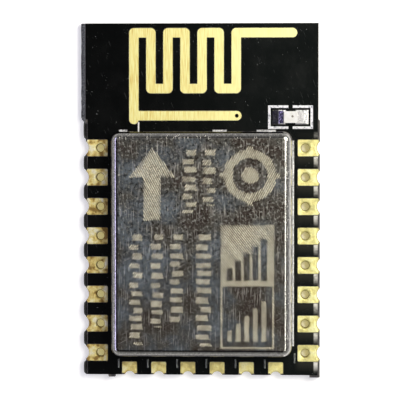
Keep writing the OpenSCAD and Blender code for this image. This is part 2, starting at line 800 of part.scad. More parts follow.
module at_small(part) translate([part[0], part[1], board_t]) rotate([0, 0, part[2]]) children();

module small_core(part) {
    translate([0, 0, part[5] / 2])
        cube([part[3] - 2 * end_cap_t, part[4] - 2 * end_cap_t, part[5] - 2 * end_cap_t],
            center = true);
}

module small_body(part, tint) color(tint) at_small(part) small_core(part);

module small_ends(part) {
    color("#c4c4c6") at_small(part) difference() {
        for (s = [-1, 1])
            translate([s * (part[3] - end_cap_l) / 2, 0, part[5] / 2])
                cube([end_cap_l, part[4], part[5]], center = true);
        small_core(part);
    }
}

// Copper lands under the ends of one small part, in place on the board
module small_land_shapes(part, grow = 0) {
    l = end_cap_l + 2 * land_out;
    translate([part[0], part[1]]) rotate(part[2])
        for (s = [-1, 1])
            translate([s * (part[3] / 2 + land_out - l / 2), 0])
                square([l + 2 * grow, part[4] + 2 * grow], center = true);
}

// All lands that carry the lamp, the chips, the crystal and the small parts
module land_shapes(grow = 0) {
    lamp_land_shapes(grow);
    for (part = concat(capacitors, resistors, inductors)) small_land_shapes(part, grow);
    translate(radio_at) radio_lead_shapes(grow);
    translate(memory_at)
        for (s = [-1, 1], y = lead_places(memory_leads, memory_pitch))
            translate([s * (memory_span - memory_foot) / 2, y])
                square([memory_foot + 2 * land_out + 2 * grow, memory_lead_w + 2 * grow],
                    center = true);
    translate(crystal_at)
        for (x = [-1, 1], y = [-1, 1])
            translate([x * (crystal_l - crystal_pad) / 2, y * (crystal_w - crystal_pad) / 2])
                square(crystal_pad + 2 * grow, center = true);
}

module part_lands() {
    color("#d9bd6b") translate([0, 0, lam_high]) linear_extrude(copper_t) land_shapes();
}

// ------------------------------------------------------------------------ nodes

laminate();
top_solder_mask();
bottom_solder_mask();
printed_frame();
antenna_track();
feed_line();
ground_ring();
part_lands();
for (i = [1 : side_count])
    at_left(i) side_pad();
for (i = [1 : side_count])
    at_right(i) side_pad();
for (i = [1 : end_pads])
    at_end(i) end_pad();
shield_can();
shield_solder();
lamp_base();
lamp_resin();
lamp_ends();
lamp_solder();
radio_chip();
radio_chip_leads();
memory_chip();
memory_chip_leads();
crystal_case();
crystal_lid();
for (i = [1 : len(capacitors)]) {
    small_body(capacitors[i - 1], "#a48a68");
    small_ends(capacitors[i - 1]);
}
for (i = [1 : len(resistors)]) {
    small_body(resistors[i - 1], "#26272a");
    small_ends(resistors[i - 1]);
}
for (i = [1 : len(inductors)]) {
    small_body(inductors[i - 1], "#4c6a72");
    small_ends(inductors[i - 1]);
}
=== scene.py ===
"""Finish and lighting of a castellated radio module.

Lengths are in millimetres until a mesh, a lamp or the camera is made, and places come from
the boxes of the CAD nodes. +X is to the right, +Y runs to the antenna end and +Z is up.
"""

import json
import math

import bpy
import numpy as np
from mathutils import Matrix, Vector


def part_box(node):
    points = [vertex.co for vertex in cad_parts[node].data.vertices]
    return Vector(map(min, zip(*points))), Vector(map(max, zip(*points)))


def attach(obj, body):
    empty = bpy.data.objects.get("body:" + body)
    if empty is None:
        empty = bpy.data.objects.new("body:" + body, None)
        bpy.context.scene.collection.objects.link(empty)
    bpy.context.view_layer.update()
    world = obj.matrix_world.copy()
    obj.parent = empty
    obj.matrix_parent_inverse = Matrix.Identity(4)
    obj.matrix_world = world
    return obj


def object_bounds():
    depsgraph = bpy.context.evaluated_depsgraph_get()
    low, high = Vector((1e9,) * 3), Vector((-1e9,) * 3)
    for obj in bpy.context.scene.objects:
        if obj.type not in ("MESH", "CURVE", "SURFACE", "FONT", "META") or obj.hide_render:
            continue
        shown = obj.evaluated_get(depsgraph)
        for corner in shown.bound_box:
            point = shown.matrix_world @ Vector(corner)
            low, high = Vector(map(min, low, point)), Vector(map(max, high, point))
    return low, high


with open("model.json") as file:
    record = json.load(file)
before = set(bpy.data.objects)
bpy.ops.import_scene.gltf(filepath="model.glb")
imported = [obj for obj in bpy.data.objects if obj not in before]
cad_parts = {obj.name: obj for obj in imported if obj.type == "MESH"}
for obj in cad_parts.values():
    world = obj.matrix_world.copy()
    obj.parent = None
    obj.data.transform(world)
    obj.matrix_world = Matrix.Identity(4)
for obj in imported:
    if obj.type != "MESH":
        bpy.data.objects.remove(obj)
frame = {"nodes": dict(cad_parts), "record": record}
CAD_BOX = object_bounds()
NODES = frame["nodes"]
MM = 0.001
MIX_A, MIX_B = 6, 7  # colour inputs of the Mix node
BLEND = {"out": 2, "data_type": "RGBA"}  # makes a Mix node blend two colours
FROM_LOW, FROM_HIGH, TO_LOW, TO_HIGH = 1, 2, 3, 4  # sockets of the Map Range node


# ---------------------------------------------------------------------- shared helpers


def box(name):
    """Lowest and highest corner of a CAD node, as two arrays in millimetres."""
    low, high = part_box(name)
    return np.array(low) / MM, np.array(high) / MM


def colour(code):
    """Linear RGBA of an sRGB colour written as #rrggbb."""
    parts = [int(code[i : i + 2], 16) / 255 for i in (1, 3, 5)]
    linear = [c / 12.92 if c <= 0.04045 else ((c + 0.055) / 1.055) ** 2.4 for c in parts]
    return (*linear, 1.0)


def add(tree, kind, inputs=None, out=0, stops=(), **settings):
    """Adds a node with its settings and colour stops, links or sets its inputs by name or
    number, and returns one of its outputs."""
    made = tree.nodes.new("ShaderNode" + kind)
    for key, value in settings.items():
        setattr(made, key, value)
    for number, (place, code) in enumerate(stops):
        elements = made.color_ramp.elements
        if number == 0:
            elements.remove(elements[1])
            element = elements[0]
            element.position = place
        else:
            element = elements.new(place)
        element.color = colour(code)
    for key, value in (inputs or {}).items():
        if isinstance(value, bpy.types.NodeSocket):
            tree.links.new(value, made.inputs[key])
        else:
            made.inputs[key].default_value = colour(value) if isinstance(value, str) else value
    return made.outputs[out] if made.outputs else None


def material(name):
    """New material: the material, its empty tree and the piece's own coordinates."""
    made = bpy.data.materials.new(name)
    made.use_nodes = True
    made.node_tree.nodes.clear()
    return made, made.node_tree, add(made.node_tree, "TexCoord", out="Object")


def surface(tree, inputs):
    """Principled shader with these inputs, as the surface of the material."""
    add(tree, "OutputMaterial", {"Surface": add(tree, "BsdfPrincipled", inputs)})


def mottle(tree, coords, size, limits, levels=(0.0, 1.0), detail=2.0, turn=0.0):
    """Noise whose grains measure size millimetres, or size along X, Y and Z after a turn. It
    runs smoothly from the first level to the second as the noise passes the two limits."""
    sizes = size if isinstance(size, tuple) else (size,) * 3
    grains = add(
        tree,
        "Mapping",
        {"Vector": coords, "Rotation": (0, 0, turn), "Scale": tuple(s * MM for s in sizes)},
        vector_type="TEXTURE",
    )
    noise = add(tree, "TexNoise", {"Vector": grains, "Scale": 1.0, "Detail": detail})
    inputs = {0: noise, FROM_LOW: limits[0], FROM_HIGH: limits[1]}
    inputs.update({TO_LOW: levels[0], TO_HIGH: levels[1]})
    return add(tree, "MapRange", inputs, interpolation_type="SMOOTHSTEP")


def along(tree, coords, axis, limits, levels=(0.0, 1.0)):
    """Value that runs smoothly between two levels as an axis passes two places in
    millimetres."""
    place = add(tree, "SeparateXYZ", {"Vector": coords}, out=axis)
    inputs = {0: place, FROM_LOW: limits[0] * MM, FROM_HIGH: limits[1] * MM}
    inputs.update({TO_LOW: levels[0], TO_HIGH: levels[1]})
    return add(tree, "MapRange", inputs, interpolation_type="SMOOTHSTEP")


def gap_fade(tree, coords):
    """Value that falls from 1 at the antenna end of each gap between side pads to 0 at the
    other end of the gap."""
    low, high = box("left_pad_1")[0][1], box("left_pad_2")[1][1]
    pitch = low - box("left_pad_2")[0][1]
    place = add(tree, "SeparateXYZ", {"Vector": coords}, out=1)
    depth = add(tree, "Math", {0: low * MM, 1: place}, operation="SUBTRACT")
    depth = add(tree, "Math", {0: depth, 1: pitch * MM}, operation="FLOORED_MODULO")
    inputs = {0: depth, FROM_LOW: 0.0, FROM_HIGH: (low - high) * MM, TO_LOW: 1.0, TO_HIGH: 0.0}
    return add(tree, "MapRange", inputs, interpolation_type="SMOOTHSTEP")


def piece(name, points, faces, finish):
    """Mesh piece from an array of points in millimetres, riding on the board."""
    places = points.reshape(-1, 3) * MM
    mesh = bpy.data.meshes.new(name)
    mesh.from_pydata(places.tolist(), [], faces.tolist())
    mesh.polygons.foreach_set("use_smooth", [True] * len(mesh.polygons))
    mesh.materials.append(finish)
    made = bpy.data.objects.new(name, mesh)
    bpy.context.scene.collection.objects.link(made)
    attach(made, "root")


def grid_faces(rows, columns, copies=1):
    """Quads over copies of a grid of points, each numbered row by row."""
    i, j = np.meshgrid(np.arange(rows - 1), np.arange(columns - 1), indexing="ij")
    first = (i * columns + j).ravel()
    quad = np.stack([first, first + columns, first + columns + 1, first + 1], axis=1)
    return (quad[None] + (np.arange(copies) * rows * columns)[:, None, None]).reshape(-1, 4)


# --------------------------------------------------------------------------- materials


def black_solder_mask():
    """Liquid photo-imaged epoxy, cured black: glossy with a slight orange peel, a few dust
    specks and hairlines. Painted light: lighter from left to right, a pale painted glare
    along the routed right edge, and a grey painted sheen in the gaps between the right pads."""
    made, tree, coords = material("black_solder_mask")
    low, high = box("right_pad_1")
    # Painted light: the mask is painted lighter from left to right, towards the key lamp.
    tone = along(tree, coords, 0, (-high[0], high[0]))
    base = add(tree, "ValToRGB", {"Fac": tone}, stops=[(0.1, "#020303"), (0.9, "#0b0f0e")])
    # Painted highlight: a patchy pale glare along the routed right edge, strongest at the antenna
    # end of each gap between the right pads.
    painted_edge_glare = along(tree, coords, 0, (high[0] - 0.46, high[0] - 0.36))
    patchy = mottle(tree, coords, (0.3, 0.15, 1), (0.3, 0.6), (0.45, 1.0))
    painted_edge_glare = add(tree, "Math", {0: painted_edge_glare, 1: patchy}, operation="MULTIPLY")
    routed = along(tree, coords, 1, (high[1] + 0.6, high[1] + 0.1))
    fade = add(tree, "Math", {0: gap_fade(tree, coords), 1: routed}, operation="MULTIPLY")
    painted_edge_glare = add(tree, "Math", {0: painted_edge_glare, 1: fade}, operation="MULTIPLY")
    # Painted sheen: the gaps between the right pads are painted greyer, most at the antenna end of
    # each gap.
    thin = along(tree, coords, 0, (low[0] - 0.3, low[0] + 0.2), (0.0, 0.08))
    thin = add(tree, "Math", {0: thin, 1: fade}, operation="MULTIPLY")
    base = add(tree, "Mix", {0: thin, MIX_A: base, MIX_B: "#8b877a"}, **BLEND)
    base = add(tree, "Mix", {0: painted_edge_glare, MIX_A: base, MIX_B: "#e8e6de"}, **BLEND)
    dust = add(
        tree,
        "Math",
        {
            0: mottle(tree, coords, 0.09, (0.76, 0.8), detail=0),
            1: mottle(tree, coords, 0.7, (0.6, 0.68), detail=1),
        },
        operation="MULTIPLY",
    )
    hairs = mottle(tree, coords, (0.05, 0.9, 1.0), (0.71, 0.75), (0.0, 0.35), turn=0.35)
    marks = add(tree, "Math", {0: dust, 1: hairs}, operation="MAXIMUM")
    base = add(tree, "Mix", {0: marks, MIX_A: base, MIX_B: "#6a6d6b"}, **BLEND)
    peel = add(tree, "Bump", {"Height": mottle(tree, coords, 0.35, (0, 1)), "Distance": 0.006 * MM})
    surface(
        tree,
        {
            "Base Color": base,
            "Roughness": mottle(tree, coords, 1.6, (0.3, 0.75), (0.2, 0.32), detail=4),
            "Specular IOR Level": 0.18,
            "Normal": peel,
        },
    )
    return made


def immersion_gold():
    """Copper under nickel and a thin layer of gold: satin and pale, with the grain of the
    etched copper below, patches that are deeper in tone, and darkened almost to black along
    the foot of the shield. Painted light: glare towards the right and at the end pads, and
    painted shade deepening down the plated holes."""
    made, tree, coords = material("immersion_gold")
    wide = mottle(tree, coords, 0.5, (0, 1), detail=3)
    base = add(
        tree,
        "ValToRGB",
        {"Fac": wide},
        stops=[(0.32, "#8f7338"), (0.44, "#e0c876"), (0.58, "#f6eba2"), (0.72, "#fefad8")],
    )
    glare = along(tree, coords, 0, (-6.5, 8.0), (0.0, 0.6))
    base = add(tree, "Mix", {0: glare, MIX_A: base, MIX_B: "#fdffb4"}, **BLEND)
    end = box("end_pad_1")[1][1]
    glare = along(tree, coords, 1, (end + 0.1, end), (0.0, 0.4))
    base = add(tree, "Mix", {0: glare, MIX_A: base, MIX_B: "#fff3a0"}, **BLEND)
    grain = mottle(tree, coords, 0.07, (0.35, 0.65))
    share = add(tree, "Math", {0: grain, 1: 0.22}, operation="MULTIPLY")
    base = add(tree, "Mix", {0: share, MIX_A: base, MIX_B: "#b08d3c"}, **BLEND)
    foot = box("shield_can")[1][1]
    # Darkened almost to black in a band along the foot of the shield.
    foot_darkening = along(tree, coords, 1, (foot - 0.3, foot - 0.1), (0.0, 0.9))
    beyond = along(tree, coords, 1, (foot + 0.3, foot + 0.2))
    foot_darkening = add(tree, "Math", {0: foot_darkening, 1: beyond}, operation="MULTIPLY")
    base = add(tree, "Mix", {0: foot_darkening, MIX_A: base, MIX_B: "#0b0a07"}, **BLEND)
    face = box("left_pad_1")[1][2]
    # Painted shade: the gold darkens down into the plated holes.
    painted_hole_shade = along(tree, coords, 2, (face - 0.02, face - 0.12), (0.0, 0.85))
    base = add(tree, "Mix", {0: painted_hole_shade, MIX_A: base, MIX_B: "#7a6428"}, **BLEND)
    pits = add(tree, "Bump", {"Height": grain, "Distance": 0.006 * MM})
    waves = add(tree, "Bump", {"Height": wide, "Distance": 0.03 * MM, "Normal": pits})
    surface(
        tree,
        {
            "Base Color": base,
            "Metallic": 0.45,
            "Roughness": mottle(tree, coords, 0.07, (0.3, 0.7), (0.38, 0.52)),
            "Normal": waves,
        },
    )
    return made


def brushed_gold():
    """Gold-plated antenna copper, scrubbed along the board before plating, so that fine
    streaks run the length of the board."""
    made, tree, coords = material("brushed_gold")
    streak = mottle(tree, coords, (0.045, 1.1, 1.0), (0, 1), detail=3)
    base = add(
        tree,
        "ValToRGB",
        {"Fac": streak},
        stops=[(0.26, "#dcc06c"), (0.37, "#ebdc84"), (0.52, "#f3ea98"), (0.7, "#f8f4ae")],
    )
    glare = along(tree, coords, 0, (-4.0, 5.0), (0.0, 0.8))
    base = add(tree, "Mix", {0: glare, MIX_A: base, MIX_B: "#fffcb2"}, **BLEND)
    tarnish = mottle(tree, coords, 1.2, (0.5, 0.75), (0.0, 0.3))
    base = add(tree, "Mix", {0: tarnish, MIX_A: base, MIX_B: "#ecd682"}, **BLEND)
    lines = add(tree, "Bump", {"Height": streak, "Distance": 0.008 * MM})
    surface(tree, {"Base Color": base, "Metallic": 0.3, "Roughness": 0.45, "Normal": lines})
    return made


def tinned_copper():
    """Fine track left bare and tinned: pale, bright, a little uneven."""
    made, tree, coords = material("tinned_copper")
    tone = mottle(tree, coords, 0.2, (0.3, 0.7))
    base = add(tree, "ValToRGB", {"Fac": tone}, stops=[(0.0, "#f6f6ee"), (1.0, "#fffffa")])
    waves = add(tree, "Bump", {"Height": tone, "Distance": 0.01 * MM})
    surface(tree, {"Base Color": base, "Metallic": 0.1, "Roughness": 0.35, "Normal": waves})
    return made


def tin_solder():
    """Tin solder, melted and set: bright, with shallow ripples and dull flux spots, and painted
    shade that darkens it almost to black at the marked end of the lamp."""
    made, tree, coords = material("tin_solder")
    ripple = mottle(tree, coords, 0.14, (0.3, 0.7), detail=3)
    base = add(tree, "ValToRGB", {"Fac": ripple}, stops=[(0.0, "#a9a9ae"), (0.7, "#f0f0f0")])
    lamp = box("lamp_ends")[0]
    # Painted shade: the solder at the marked end of the lamp, away from the key lamp, is painted
    # almost black.
    painted_lamp_shade = along(tree, coords, 0, (lamp[0] + 0.03, lamp[0] - 0.08), (0.0, 0.96))
    beside = along(tree, coords, 1, (lamp[1] - 0.2, lamp[1] - 0.1))
    painted_lamp_shade = add(tree, "Math", {0: painted_lamp_shade, 1: beside}, operation="MULTIPLY")
    base = add(tree, "Mix", {0: painted_lamp_shade, MIX_A: base, MIX_B: "#0c0a1c"}, **BLEND)
    waves = add(tree, "Bump", {"Height": ripple, "Distance": 0.03 * MM})
    surface(tree, {"Base Color": base, "Metallic": 0.7, "Roughness": 0.28, "Normal": waves})
    return made


def nickel_silver_sheet():
    """Drawn nickel-silver sheet, dulled by heat and handling: brown and blue-grey clouds, a
    fine grain and scratches both ways. Its bends carry painted light: painted highlights
    on the upper bend and all along the right bend, a painted reflection of the black board
    lower on the bend, and a thin dark line along the flat's edge except on the right."""
    made, tree, coords = material("nickel_silver_sheet")
    low, high = box("shield_can")
    top = high[2]
    bend_in = 0.55  # from an outer wall to where its bend begins on the top
    right, far = high[0] - bend_in, high[1] - bend_in
    flat = along(tree, coords, 2, (top - 0.006, top - 0.001))
    # Painted reflection: a thin dark line along the edge of the flat top, missing on the right bend
    # and fainter at the far end.
    left_of_right_bend = along(tree, coords, 0, (right, right + 0.02), (1.0, 0.0))
    painted_dark_line = along(tree, coords, 2, (top - 0.035, top - 0.008))
    painted_dark_line = add(tree, "Math", {0: painted_dark_line, 1: left_of_right_bend}, operation="MULTIPLY")
    faded = along(tree, coords, 1, (far, far + 0.02), (1.0, 0.3))
    painted_dark_line = add(tree, "Math", {0: painted_dark_line, 1: faded}, operation="MULTIPLY")
    # Painted highlight: the upper part of each bend and the whole right side past the bend's start
    # are painted bright.
    bend = along(tree, coords, 2, (top - 0.22, top - 0.1))
    painted_right_highlight = add(tree, "Math", {0: 1.0, 1: left_of_right_bend}, operation="SUBTRACT")
    bend = add(tree, "Math", {0: bend, 1: painted_right_highlight}, operation="MAXIMUM")
    clouds = mottle(tree, coords, 2.4, (0.25, 0.75), (0.0, 0.86), detail=5)
    for axis, limits, levels in (
        (1, (high[1] - 0.8, high[1] - 2.8), (-0.08, 0.06)),
        (0, (-5.0, 5.5), (0.04, -0.12)),
    ):
        drift = along(tree, coords, axis, limits, levels)
        clouds = add(tree, "Math", {0: clouds, 1: drift}, operation="ADD")
    base = add(
        tree,
        "ValToRGB",
        {"Fac": clouds},
        stops=[(0.12, "#463f3a"), (0.34, "#5a5853"), (0.56, "#63676a"), (0.8, "#858e95")],
    )
    grain = mottle(tree, coords, (0.1, 0.16, 0.1), (0, 1), detail=6)
    middle = (low[1] + high[1]) / 2
    coarse = along(tree, coords, 1, (middle - 4.0, middle + 2.5), (0.35, 1.0))
    pitted = mottle(tree, coords, (0.24, 0.3, 0.1), (0.32, 0.54), (0.75, 0.0), detail=6)
    pitted = add(tree, "Math", {0: pitted, 1: coarse}, operation="MULTIPLY")
    base = add(tree, "Mix", {0: pitted, MIX_A: base, MIX_B: "#211d1b"}, **BLEND)
    rubbed = mottle(tree, coords, (0.15, 0.2, 0.1), (0.5, 0.72), (0.0, 0.85), detail=6, turn=0.6)
    rubbed = add(tree, "Math", {0: rubbed, 1: coarse}, operation="MULTIPLY")
    base = add(tree, "Mix", {0: rubbed, MIX_A: base, MIX_B: "#a4a49d"}, **BLEND)
    scratch = add(
        tree,
        "Math",
        {
            0: mottle(tree, coords, (0.06, 1.4, 1.0), (0.6, 0.68)),
            1: mottle(tree, coords, (1.4, 0.04, 1.0), (0.66, 0.71), turn=0.5),
        },
        operation="MAXIMUM",
    )
    share = add(tree, "Math", {0: scratch, 1: 0.55}, operation="MULTIPLY")
    base = add(tree, "Mix", {0: share, MIX_A: base, MIX_B: "#bdb9ae"}, **BLEND)
    bare = add(tree, "ValToRGB", {"Fac": grain}, stops=[(0.3, "#9a9895"), (0.7, "#c6c4bf")])
    # Painted reflection: elsewhere the bend is painted dark for the black board it mirrors.
    bare = add(tree, "Mix", {0: bend, MIX_A: "#2c2a2a", MIX_B: bare}, **BLEND)
    bare = add(tree, "Mix", {0: painted_dark_line, MIX_A: bare, MIX_B: "#242222"}, **BLEND)
    wall = along(tree, coords, 2, (top - 0.42, top - 0.6), (0.0, 1.0))
    bare = add(tree, "Mix", {0: wall, MIX_A: bare, MIX_B: "#8f8c87"}, **BLEND)
    base = add(tree, "Mix", {0: flat, MIX_A: bare, MIX_B: base}, **BLEND)
    dull = mottle(tree, coords, 2.4, (0.3, 0.7), (0.45, 0.32))
    polish = add(tree, "Mix", {0: wall, 2: 0.16, 3: 0.3})
    rough = add(tree, "Mix", {0: flat, 2: polish, 3: dull})
    depth = add(tree, "Mix", {0: flat, 2: 0.1, 3: coarse})
    fine = add(tree, "Bump", {"Height": grain, "Distance": 0.009 * MM, "Strength": depth})
    inputs = {"Height": scratch, "Distance": 0.004 * MM, "Normal": fine}
    cuts = add(tree, "Bump", inputs, invert=True)
    surface(tree, {"Base Color": base, "Metallic": 1.0, "Roughness": rough, "Normal": cuts})
    return made


def glass_epoxy_laminate():
    """Woven glass in dark epoxy, seen at its cut edges: plies in layers, and pale broken
    fibres where the panel was snapped."""
    made, tree, coords = material("glass_epoxy_laminate")
    plies = mottle(tree, coords, (0.5, 0.5, 0.06), (0.3, 0.75), detail=3)
    base = add(
        tree,
        "ValToRGB",
        {"Fac": plies},
        stops=[(0.1, "#2f2d30"), (0.5, "#403d3e"), (0.9, "#6a655f")],
    )
    left = box("left_pad_1")[0][0]
    snapped = along(tree, coords, 0, (left, left - 0.06))
    fibres = mottle(tree, coords, (0.3, 0.06, 0.06), (0.3, 0.7), detail=3)
    torn = add(
        tree,
        "ValToRGB",
        {"Fac": fibres},
        stops=[(0.1, "#2c2f31"), (0.5, "#4b4e51"), (0.9, "#86898b")],
    )
    base = add(tree, "Mix", {0: snapped, MIX_A: base, MIX_B: torn}, **BLEND)
    rough = add(tree, "Bump", {"Height": fibres, "Distance": 0.03 * MM})
    surface(tree, {"Base Color": base, "Roughness": 0.45, "Normal": rough})
    return made


def printed_ink():
    """Screen-printed white ink: slightly thick, matt, and thin in places so that the board
    shows through."""
    made, tree, coords = material("printed_ink")
    thin = mottle(tree, coords, 0.2, (0.3, 0.7), detail=3)
    base = add(
        tree,
        "ValToRGB",
        {"Fac": thin},
        stops=[(0.0, "#84878c"), (0.25, "#cfd1d8"), (0.6, "#f1f1f4")],
    )
    edge = add(tree, "Bump", {"Height": thin, "Distance": 0.012 * MM})
    surface(tree, {"Base Color": base, "Roughness": 0.55, "Normal": edge})
    return made


def white_lamp_base():
    """White moulded base of the lamp, faintly speckled with its filler."""
    made, tree, coords = material("white_lamp_base")
    filler = mottle(tree, coords, 0.08, (0.3, 0.7))
    base = add(tree, "ValToRGB", {"Fac": filler}, stops=[(0.0, "#dedccf"), (1.0, "#f4f2e8")])
    surface(tree, {"Base Color": base, "Roughness": 0.5})
    return made


def milky_resin():
    """Cast epoxy over the light chip: milky, half clear, with a smooth moulded top."""
    made, tree, coords = material("milky_resin")
    haze = mottle(tree, coords, 0.25, (0.3, 0.7))
    base = add(tree, "ValToRGB", {"Fac": haze}, stops=[(0.0, "#f3f3ec"), (1.0, "#ffffff")])
    surface(
        tree,
        {"Base Color": base, "Roughness": 0.22, "IOR": 1.5, "Transmission Weight": 0.12},
    )
    return made


def tinned_terminal():
    """Tin plating on leads and end caps, dipped: dull bright with fine crystals."""
    made, tree, coords = material("tinned_terminal")
    crystal = mottle(tree, coords, 0.06, (0.3, 0.7))
    base = add(tree, "ValToRGB", {"Fac": crystal}, stops=[(0.0, "#aaa9ae"), (1.0, "#e9e8ea")])
    facets = add(tree, "Bump", {"Height": crystal, "Distance": 0.006 * MM})
    surface(tree, {"Base Color": base, "Metallic": 0.85, "Roughness": 0.32, "Normal": facets})
    return made


def moulded_epoxy():
    """Black epoxy moulding compound: matt, peppered with silica filler."""
    made, tree, coords = material("moulded_epoxy")
    filler = mottle(tree, coords, 0.06, (0.3, 0.8))
    base = add(tree, "ValToRGB", {"Fac": filler}, stops=[(0.2, "#17181a"), (0.9, "#3a3b3c")])
    surface(tree, {"Base Color": base, "Roughness": 0.62})
    return made


def fired_ceramic(name, dark, light, roughness):
    """Fired ceramic of a small part: fine grained, with a faint glaze."""
    made, tree, coords = material(name)
    grain = mottle(tree, coords, 0.05, (0.3, 0.7))
    base = add(tree, "ValToRGB", {"Fac": grain}, stops=[(0.0, dark), (1.0, light)])
    surface(tree, {"Base Color": base, "Roughness": roughness})
    return made


def laser_frosted_metal():
    """Metal frosted by a marking laser: matt and pale, uneven from shot to shot."""
    made, tree, coords = material("laser_frosted_metal")
    shots = mottle(tree, coords, 0.09, (0.32, 0.68), detail=3)
    base = add(
        tree,
        "ValToRGB",
        {"Fac": shots},
        stops=[(0.0, "#948d78"), (0.45, "#c6bfa6"), (1.0, "#e9e4cc")],
    )
    surface(tree, {"Base Color": base, "Metallic": 0.35, "Roughness": 0.6})
    return made


def violet_mark_ink():
    """Dark violet ink that marks one end of the lamp: glossy, with paler smears."""
    made, tree, coords = material("violet_mark_ink")
    smear = mottle(tree, coords, (0.05, 0.12, 0.1), (0.4, 0.66))
    base = add(
        tree,
        "ValToRGB",
        {"Fac": smear},
        stops=[(0.2, "#0a0628"), (0.5, "#231b5c"), (1.0, "#b4acde")],
    )
    surface(tree, {"Base Color": base, "Roughness": 0.3})
    return made


def ridge_sheen_mask():
    """Solder mask stretched thin over a raised track: glossy, and painted greyer than the rest as a
    painted sheen along the ridge.
    """
    made, tree, coords = material("ridge_sheen_mask")
    tone = mottle(tree, coords, (0.05, 0.3, 0.1), (0.3, 0.7))
    base = add(tree, "ValToRGB", {"Fac": tone}, stops=[(0.0, "#30332f"), (1.0, "#8d918c")])
    surface(tree, {"Base Color": base, "Roughness": 0.3})
    return made


FINISHES = {
    "laminate": glass_epoxy_laminate(),
    "solder_mask": black_solder_mask(),
    "ink": printed_ink(),
    "gold_copper": immersion_gold(),
    "antenna_copper": brushed_gold(),
    "tinned_copper": tinned_copper(),
    "shield_sheet": nickel_silver_sheet(),
    "solder": tin_solder(),
    "lamp_base": white_lamp_base(),
    "lamp_resin": milky_resin(),
    "chip_body": moulded_epoxy(),
    "lead_metal": tinned_terminal(),
    "crystal_case": fired_ceramic("crystal_ceramic", "#6b665c", "#8f897c", 0.5),
    "capacitor": fired_ceramic("capacitor_ceramic", "#9c7f5e", "#b89a74", 0.45),
    "resistor": fired_ceramic("resistor_coat", "#1e1e22", "#2c2c31", 0.35),
    "inductor": fired_ceramic("inductor_ceramic", "#48636b", "#5b7a83", 0.45),
}

for part in frame["record"]["subparts"]:
    NODES[part["node"]].material_slots[0].material = FINISHES[part["material_slot"]]


# ------------------------------------------------------------------------ laser marks


def within(x, y, low_x, low_y, high_x, high_y):
    """True inside an upright rectangle."""
    return (x > low_x) & (x < high_x) & (y > low_y) & (y < high_y)


def target_ring(x, y):
    """Ring with four ticks and a round centre, which lines up the shield on its carrier."""
    u, v = x - 3.3, y - 1.65
    r = np.hypot(u, v)
    ring = (r > 1.15) & (r < 1.8)
    ticks = (r > 1.75) & (r < 2.05) & ((abs(u) < 0.2) | (abs(v) < 0.2))
    return ring | ticks | (r < 0.6)


def antenna_arrow(x, y):
    """Arrow that points to the antenna end: a shaft and a three-sided head."""
    u, v = x + 3.3, y
    shaft = within(u, v, -0.6, -1.4, 0.6, 1.5)
    head = (v > 1.5) & (v < 3.6) & (abs(u) < (3.6 - v) * 0.76)
    return shaft | head


def bar_panel(x, y):
    """Sharp-cornered panel: its upper half filled round five rising windows, its lower half
    empty round five rising bars."""
    low, high = np.array([1.3, -10.05]), np.array([4.95, -1.65])
    panel = within(x, y, *low, *high)
    inner = within(x, y, *(low + 0.17), *(high - 0.17))
    column = (x - 1.75) / 0.58
    lane = (column % 1 < 0.62) & (column > 0) & (column < 5)
    rise = 0.7 + 0.45 * np.floor(column)
    windows = lane & (y > -5.4) & (y < -5.4 + rise * 1.1)
    bars = lane & (y > -9.55) & (y < -9.55 + rise * 1.1)
    return panel & (~inner | ((y > -5.85) & ~windows) | ((y < -5.85) & bars))


def index_bars(x, y):
    """Columns of plain bars of uneven height, one under the other."""
    rng = np.random.default_rng(23)
    marked = np.zeros(x.shape, dtype=bool)
    columns = [(-1.25, -0.3, -0.9, 3.4), (0.1, 1.0, -0.4, 3.4), (-4.85, -3.95, -9.8, -2.3)]
    columns += [(-3.4, -2.55, -8.6, -2.3), (-2.1, -1.2, -8.4, -2.3), (-0.35, 0.7, -9.9, -2.3)]
    for low_x, high_x, low_y, high_y in columns:
        steps = rng.uniform(0.12, 0.26, 60)
        steps[::2] += 0.22
        edges = high_y - np.cumsum(steps)
        place = np.searchsorted(-edges, -y)
        inset = rng.uniform(0.0, 0.3, 61)[place]
        start = low_x + inset * (place % 4 == 0)
        stop = high_x - inset * (place % 4 == 2)
        marked |= (place % 2 == 0) & within(x, y, start, low_y, stop, high_y)
    return marked


